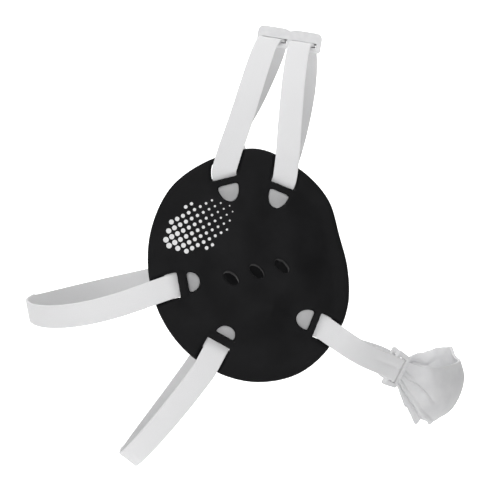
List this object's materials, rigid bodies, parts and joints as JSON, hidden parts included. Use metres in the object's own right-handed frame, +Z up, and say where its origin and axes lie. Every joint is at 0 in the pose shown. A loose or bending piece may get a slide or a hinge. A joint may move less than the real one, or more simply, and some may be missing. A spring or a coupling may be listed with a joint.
{
  "type": "wrestling ear guard",
  "caption": "Padded wrestling ear guard: domed ear cups with hearing holes, webbing straps over the crown, the back of the head and the nape, and a strapped, gathered chin cup.",
  "frame": {"origin": "midway between the ears, on the line through the middles of the two ear cups, where the head carries the part", "axes": "+X forward over the face, +Y to the wearer's left, +Z up"},
  "size_m": [0.2767, 0.1928, 0.2782],
  "materials": {
    "foam": "matte moulded foam",
    "webbing": "woven webbing",
    "plastic": "satin moulded plastic",
    "chin_sheet": "soft coated sheet"
  },
  "bodies": {
    "root": {"ear_cup_right": "foam", "ear_cup_left": "foam", "crown_strap_rear": "webbing", "crown_strap_front": "webbing", "crown_keeper": "plastic", "rear_strap": "webbing", "nape_strap": "webbing", "chin_strap_right": "webbing", "chin_strap_left": "webbing", "chin_slider_right": "plastic", "chin_slider_left": "plastic", "chin_cup": "chin_sheet"}
  },
  "joints": []
}
